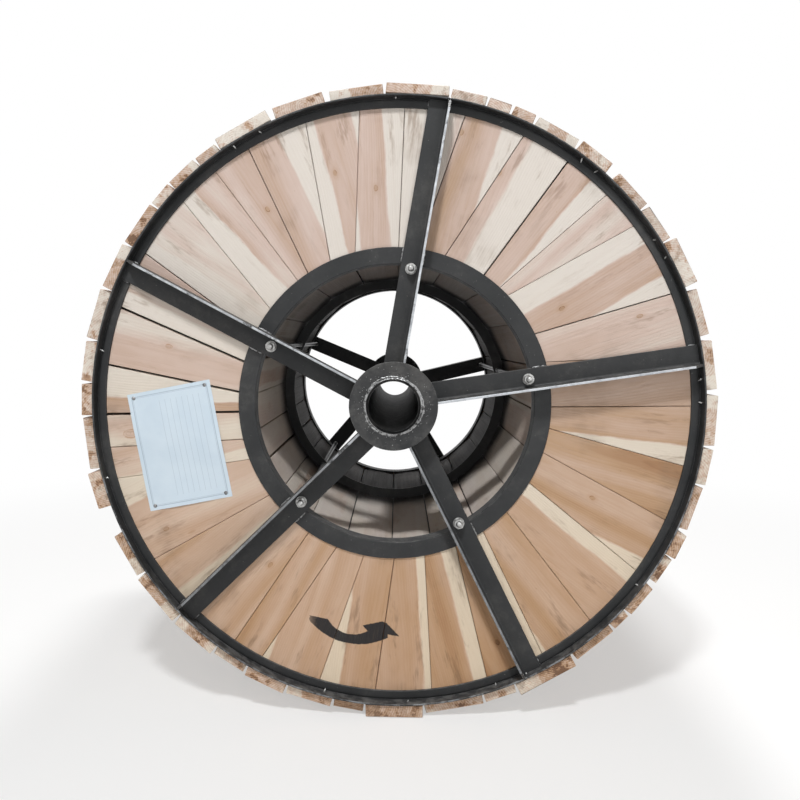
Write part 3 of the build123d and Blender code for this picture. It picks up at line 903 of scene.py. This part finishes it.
# Tie rods with cut threads, and their nuts
def tie_rods():
    """Threads at both ends that run out into the plain rod, and eased tips."""
    half_length = abs(ROD_END_Y)
    for number in range(1, SPOKE_COUNT + 1):
        node = f"tie_rod_{number}"
        low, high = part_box(node)
        centre = (low + high) * 0.5
        stations = []
        y = -half_length
        while y < -half_length + THREAD_LENGTH:
            stations.append(y)
            y += THREAD_PITCH / 5.0
        stations += [-s for s in reversed(stations)]
        rings = []
        for y in stations:
            from_end = half_length - abs(y)
            limit = ROD_R - max(0.0, 0.001 - from_end)
            run_out = min(1.0, (THREAD_LENGTH - from_end) / THREAD_PITCH)
            ring = []
            for angle in angles(THREAD_SIDES):
                phase = (y / THREAD_PITCH + angle / FULL_TURN) % 1.0
                cut = THREAD_DEPTH * abs(2.0 * phase - 1.0) * run_out
                ring.append(Vector((centre.x, y, centre.z)) + outward(angle) * min(limit, ROD_R - cut))
            rings.append(ring)
        bm = bmesh.new()
        loft(bm, rings)
        new_piece(f"threaded_rod_{number}", bm, SHADED_ROD_STEEL, [node], smooth=50)


def hex_nuts():
    """Chamfered hexagons, each turned at random as a spanner left it."""
    rng = random.Random(3)
    bm = bmesh.new()
    sixth = FULL_TURN / 6.0
    inner_r = NUT_FLATS / 2.0
    height = abs(NUT_FACE_Y) - abs(WASHER_FACE_Y)
    for number in range(1, SPOKE_COUNT + 1):
        low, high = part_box(f"tie_rod_{number}")
        for side in (-1.0, 1.0):
            seat = Vector(((low.x + high.x) / 2.0, side * abs(WASHER_FACE_Y), (low.z + high.z) / 2.0))
            turn = rng.uniform(0.0, sixth)
            out = AXIS * side
            walls = [[] for _ in range(7)]
            for angle in angles(NUT_SIDES):
                radius = inner_r / math.cos(angle % sixth - sixth / 2.0)
                drop = (radius - inner_r) * CHAMFER_SLOPE
                profile = (
                    (ROD_R + 0.0001, 0.0),
                    (inner_r * 0.99, 0.0),
                    (radius, drop + 0.0004),
                    (radius, height - drop),
                    (inner_r * 0.97, height),
                    (ROD_R + 0.0008, height),
                    (ROD_R + 0.0001, height - 0.0007),
                )
                for wall, (reach, rise) in zip(walls, profile):
                    wall.append(seat + outward(angle + turn) * reach + out * rise)
            loft(bm, walls, closed=True)
    bmesh.ops.recalc_face_normals(bm, faces=bm.faces)
    new_piece("hex_nuts", bm, ZINC, ["tie_rod_nuts"], smooth=25)


# Weld beads
def bead(bm, points, radius, rng, closed=False):
    """A lumpy tube along points, as runs of weld ripple."""
    rings = []
    count = len(points)
    for k, point in enumerate(points):
        ahead = points[(k + 1) % count] if closed or k + 1 < count else point
        behind = points[k - 1] if closed or k > 0 else point
        along = (ahead - behind).normalized()
        side = along.cross(AXIS).normalized()
        up = side.cross(along)
        swell = radius * (0.86 + 0.16 * math.sin(k * 1.9) + rng.uniform(-0.10, 0.12))
        if not closed:
            swell *= min(1.0, 0.45 + 0.3 * min(k, count - 1 - k))
        rings.append(circle(point, swell, 8, side, up))
    loft(bm, rings, closed)


def hub_mouth(bm, side, rng):
    """Two beads round the pipe's end, one in the corner and one beside it, and spatter."""
    for wide, reach, phase in ((0.0040, 0.0004, 0.0), (0.0030, 0.0040, 2.0)):
        mouth = []
        for angle in angles(MOUTH_POINTS):
            wander = 0.0012 * math.sin(3.0 * angle + phase) + rng.uniform(-0.0009, 0.0009)
            sunk = AXIS * (side * (abs(DISC_FACE_Y) - WELD_SINK))
            mouth.append(outward(angle) * (PIPE_R + reach + wander) + sunk)
        bead(bm, mouth, wide, rng, closed=True)
    spatter(bm, side, rng)


def spatter(bm, side, rng):
    """Droplets of weld metal thrown over the hub disc."""
    out = AXIS * side
    for _ in range(SPATTER_COUNT):
        angle = rng.uniform(0.0, FULL_TURN)
        reach = PIPE_R + 0.003 + abs(rng.gauss(0.0, 0.011))
        size = rng.uniform(0.0005, 0.0014)
        if reach > DISC_R - 0.003:
            continue
        spot = outward(angle) * reach + out * abs(DISC_FACE_Y)
        drop = ((-0.0003, size), (size * 0.5, size * 0.85), (size * 0.9, size * 0.35))
        turned(bm, spot, out, outward(angle), sideways(angle), 7, drop)


def spoke_welds(bm, turn, side, rng):
    """Beads where a spoke crosses the inner ring, and where its end meets the rim's lip."""
    angle = turn if side < 0.0 else 2.0 * ROD_ANGLE - turn
    low, high = -SPOKE_SETBACK, SPOKE_LEG - SPOKE_SETBACK
    if side > 0.0:
        low, high = -high, -low
    ray, across = outward(angle), sideways(angle)
    face = AXIS * (side * (abs(STEEL_FACE_Y) + 0.0006))
    on_ring = (RING_IN_R + 0.003, RING_OUT_R - 0.003, RING_WELD_R)
    on_rim = (RIM_R - RIM_LEG + 0.002, RIM_R - LIP_T - 0.004, END_WELD_R)
    for edge in (low - 0.0006, high + 0.0006):
        for inner_r, outer_r, radius in (on_ring, on_rim):
            start = ray * inner_r + across * edge + face
            end = ray * outer_r + across * edge + face
            count = max(3, int((end - start).length / WELD_STEP))
            bead(bm, [start.lerp(end, k / count) for k in range(count + 1)], radius, rng)


def welds():
    rng = random.Random(9)
    bm = bmesh.new()
    for side in (-1.0, 1.0):
        hub_mouth(bm, side, rng)
    for number in range(SPOKE_COUNT):
        for side in (-1.0, 1.0):
            spoke_welds(bm, SPOKE_ANGLE + FULL_TURN * number / SPOKE_COUNT, side, rng)
    new_piece("weld_beads", bm, WELD, smooth=60)


# Cable: the outer layer's turns, laid side by side between the flanges
def winding():
    rng = random.Random(13)
    bm = bmesh.new()
    turns = int(2.0 * CABLE_END_Y / TURN_PITCH)
    pitch = 2.0 * CABLE_END_Y / turns
    profile = []
    for turn in range(turns):
        for share in (-1.0, -0.75, -0.4, 0.0, 0.4, 0.75):
            y = -CABLE_END_Y + pitch * (turn + 0.5 + share / 2.0)
            sink = 0.5 * pitch * (1.0 - math.sqrt(1.0 - share * share))
            profile.append((turn, y, CABLE_R - sink))
    lift = [(rng.uniform(0.0, FULL_TURN), rng.uniform(0.0, FULL_TURN)) for _ in range(turns)]
    rings = []
    for angle in angles(CABLE_SIDES):
        ring = [outward(angle) * CABLE_BORE_R + AXIS * -CABLE_END_Y]
        for turn, y, radius in profile:
            one, other = lift[turn]
            wobble = 0.0012 * (1.0 + math.sin(2.0 * angle + one))
            wobble += 0.0006 * (1.0 + math.sin(7.0 * angle + other))
            ring.append(outward(angle) * (radius - wobble) + AXIS * y)
        ring.append(outward(angle) * (CABLE_R - pitch / 2.0) + AXIS * CABLE_END_Y)
        ring.append(outward(angle) * CABLE_BORE_R + AXIS * CABLE_END_Y)
        rings.append(ring)
    loft(bm, rings, closed=True)
    bmesh.ops.recalc_face_normals(bm, faces=bm.faces)
    new_piece("cable_turns", bm, JACKET, ["cable_winding"], smooth=40)


# Paper sheet with a little wave in it, and its tacks
def sheet_frame():
    """The sheet's middle, and its directions across and up."""
    return outward(SHEET_ANGLE) * SHEET_R, outward(SHEET_TURN), sideways(SHEET_TURN)


def sheet_lift(u, v):
    """How far the paper stands off the boards: held at its corners, loose between them."""
    edge_u = math.cos(math.pi * u / SHEET_W)
    edge_v = math.cos(math.pi * v / SHEET_H)
    wave = 0.6 + 0.4 * math.sin(31.0 * v + 14.0 * u + 0.6)
    return 0.0003 + 0.0030 * max(edge_u, edge_v) * wave * min(1.0, 0.25 + max(edge_u, edge_v))


def paper():
    centre, across, up = sheet_frame()
    bm = bmesh.new()
    page = bm.verts.layers.float_vector.new("page")
    columns, rows = 34, 48
    faces = []
    for back in (0.0, PAPER_T):
        grid = []
        for i in range(columns + 1):
            line = []
            for j in range(rows + 1):
                u = SHEET_W * (i / columns - 0.5)
                v = SHEET_H * (j / rows - 0.5)
                y = BOARD_FACE_Y - sheet_lift(u, v) + back
                vertex = bm.verts.new(centre + across * u + up * v + AXIS * y)
                vertex[page] = Vector((u, v, 0.0))
                line.append(vertex)
            grid.append(line)
        for i in range(columns):
            for j in range(rows):
                bm.faces.new((grid[i][j], grid[i + 1][j], grid[i + 1][j + 1], grid[i][j + 1]))
        faces.append(grid)
    front, rear = faces
    rim = [(i, 0) for i in range(columns)] + [(columns, j) for j in range(rows)]
    rim += [(i, rows) for i in range(columns, 0, -1)] + [(0, j) for j in range(rows, 0, -1)]
    for (i, j), (m, n) in zip(rim, rim[1:] + rim[:1]):
        bm.faces.new((front[i][j], rear[i][j], rear[m][n], front[m][n]))
    bmesh.ops.recalc_face_normals(bm, faces=bm.faces)
    new_piece("paper_sheet", bm, PAPER, ["certificate_sheet"], smooth=60)


def tacks():
    centre, across, up = sheet_frame()
    head = ((-0.0006, 0.0008), (-0.0001, 0.0042), (0.0008, 0.0038), (0.0014, 0.0018))
    bm = bmesh.new()
    for u_side in (-1.0, 1.0):
        for v_side in (-1.0, 1.0):
            u = u_side * (SHEET_W / 2.0 - TACK_INSET_U)
            v = v_side * (SHEET_H / 2.0 - TACK_INSET_V)
            spot = centre + across * u + up * v + AXIS * (BOARD_FACE_Y - sheet_lift(u, v))
            turned(bm, spot, -AXIS, across, up, 12, head)
    bmesh.ops.recalc_face_normals(bm, faces=bm.faces)
    new_piece("tack_heads", bm, WELD, smooth=50)


lagging_nails()
tie_rods()
hex_nuts()
welds()
winding()
paper()
tacks()


# Packed steel parts keep their shape and get their finish
def repaint(material, *names):
    for name in names:
        NODES[name].data.materials.clear()
        NODES[name].data.materials.append(material)


repaint(SPOKE_PAINT, *[name for name in NODES if name.startswith("spoke_")])
repaint(RIM_PAINT, "rim_front", "rim_back")
repaint(PAINT, "inner_ring_front", "inner_ring_back", "barrel_hoop")
repaint(HUB_PAINT, "hub_disc_front", "hub_disc_back")
repaint(SHADED_BORE_PAINT, "hub_pipe")
repaint(ZINC, "tie_rod_washers")
repaint(STRAP_STEEL, "strap_front", "strap_back", "strap_seals")


# Room, light and camera
FLOOR_COLOUR = (0.90, 0.90, 0.90)
WORLD_COLOUR = (1.0, 0.95, 0.89, 1.0)
WHITE = (1.0, 1.0, 1.0, 1.0)


def seen_directly(tree):
    """1 for rays that show the background itself: seen, mirrored or through glass."""
    path = tree.nodes.new("ShaderNodeLightPath")
    seen = path.outputs["Is Camera Ray"]
    for kind in ("Is Glossy Ray", "Is Transmission Ray"):
        either = tree.nodes.new("ShaderNodeMath")
        either.operation = "MAXIMUM"
        tree.links.new(seen, either.inputs[0])
        tree.links.new(path.outputs[kind], either.inputs[1])
        seen = either.outputs[0]
    return seen


def make_floor():
    """A pale floor that keeps the drum's shadow and turns to plain white away from it."""
    bpy.ops.mesh.primitive_plane_add(size=60.0, location=(0.0, 0.0, FLOOR_Z - 0.0005))
    floor = bpy.context.object
    floor.name = "floor"
    s = Shader("pale_floor")
    s.finish(FLOOR_COLOUR, 0.8)
    white = s.node("ShaderNodeEmission", WHITE, 1.0)
    x, y, _ = s.parts(s.place())
    away = s.band(s.length(x, y), 0.9, 3.0)
    share = s.add(0.45, s.times(away, 0.55))
    mixed = s.node("ShaderNodeMixShader", s.times(seen_directly(s.tree), share), s.surface.outputs[0], white)
    s.tree.links.new(mixed, s.tree.nodes["Material Output"].inputs["Surface"])
    floor.data.materials.append(s.material)


def make_world():
    """Even soft light, with less of it from straight behind, and plain white where it is seen."""
    world = bpy.data.worlds.new("studio")
    bpy.context.scene.world = world
    world.use_nodes = True
    tree = world.node_tree
    soft = tree.nodes["Background"]
    soft.inputs["Color"].default_value = WORLD_COLOUR
    ray = tree.nodes.new("ShaderNodeTexCoord")
    apart = tree.nodes.new("ShaderNodeSeparateXYZ")
    tree.links.new(ray.outputs["Generated"], apart.inputs[0])
    level = tree.nodes.new("ShaderNodeMapRange")
    level.interpolation_type = "SMOOTHSTEP"
    tree.links.new(apart.outputs[1], level.inputs["Value"])
    for key, number in (("From Min", 0.30), ("From Max", 0.62), ("To Min", 0.32), ("To Max", 0.02)):
        level.inputs[key].default_value = number
    tree.links.new(level.outputs["Result"], soft.inputs["Strength"])
    white = tree.nodes.new("ShaderNodeBackground")
    white.inputs["Color"].default_value = WHITE
    white.inputs["Strength"].default_value = 1.0
    pick = tree.nodes.new("ShaderNodeMixShader")
    tree.links.new(seen_directly(tree), pick.inputs[0])
    tree.links.new(soft.outputs[0], pick.inputs[1])
    tree.links.new(white.outputs[0], pick.inputs[2])
    tree.links.new(pick.outputs[0], tree.nodes["World Output"].inputs["Surface"])


def make_lamp(name, place, target, size, power, colour):
    lamp = bpy.data.lights.new(name, "AREA")
    lamp.size = size
    lamp.energy = power
    lamp.color = colour
    holder = bpy.data.objects.new(name, lamp)
    holder.location = place
    holder.rotation_euler = (Vector(target) - Vector(place)).to_track_quat("-Z", "Y").to_euler()
    bpy.context.scene.collection.objects.link(holder)


def make_camera():
    """The photograph's own view: just above the hub's height, two metres from mid-drum."""
    pixels = 800.0
    focal = 728.5
    centre_of_view = (363.8, 369.0)
    place = Vector((0.0078, -1.9976, 0.1391))
    ahead = Vector((-0.0457, 1.0, -0.0409))
    roll = math.radians(-0.2)
    camera = bpy.data.cameras.new("camera")
    camera.sensor_width = 36.0
    camera.lens = camera.sensor_width * focal / pixels
    camera.shift_x = (pixels / 2.0 - centre_of_view[0]) / pixels
    camera.shift_y = (centre_of_view[1] - pixels / 2.0) / pixels
    camera.clip_start = 0.01
    holder = bpy.data.objects.new("camera", camera)
    turn = ahead.to_track_quat("-Z", "Y").to_matrix().to_4x4()
    holder.matrix_world = Matrix.Translation(place) @ turn @ Matrix.Rotation(roll, 4, "Z")
    bpy.context.scene.collection.objects.link(holder)
    bpy.context.scene.camera = holder


FRONT, BACK = (0.0, -0.4, 0.0), (0.0, 0.4, 0.0)
COOL, NEUTRAL = (0.96, 0.985, 1.0), (1.0, 1.0, 1.0)
make_floor()
make_world()
make_lamp("key", (-0.5, -3.5, 4.3), FRONT, 0.5, 197.0, COOL)
make_lamp("fill", (1.4, -3.4, 0.7), FRONT, 1.2, 13.0, COOL)
make_lamp("back_key", (0.5, 1.5, 4.2), BACK, 1.2, 130.0, NEUTRAL)
make_camera()
bpy.context.scene.view_settings.view_transform = "Standard"
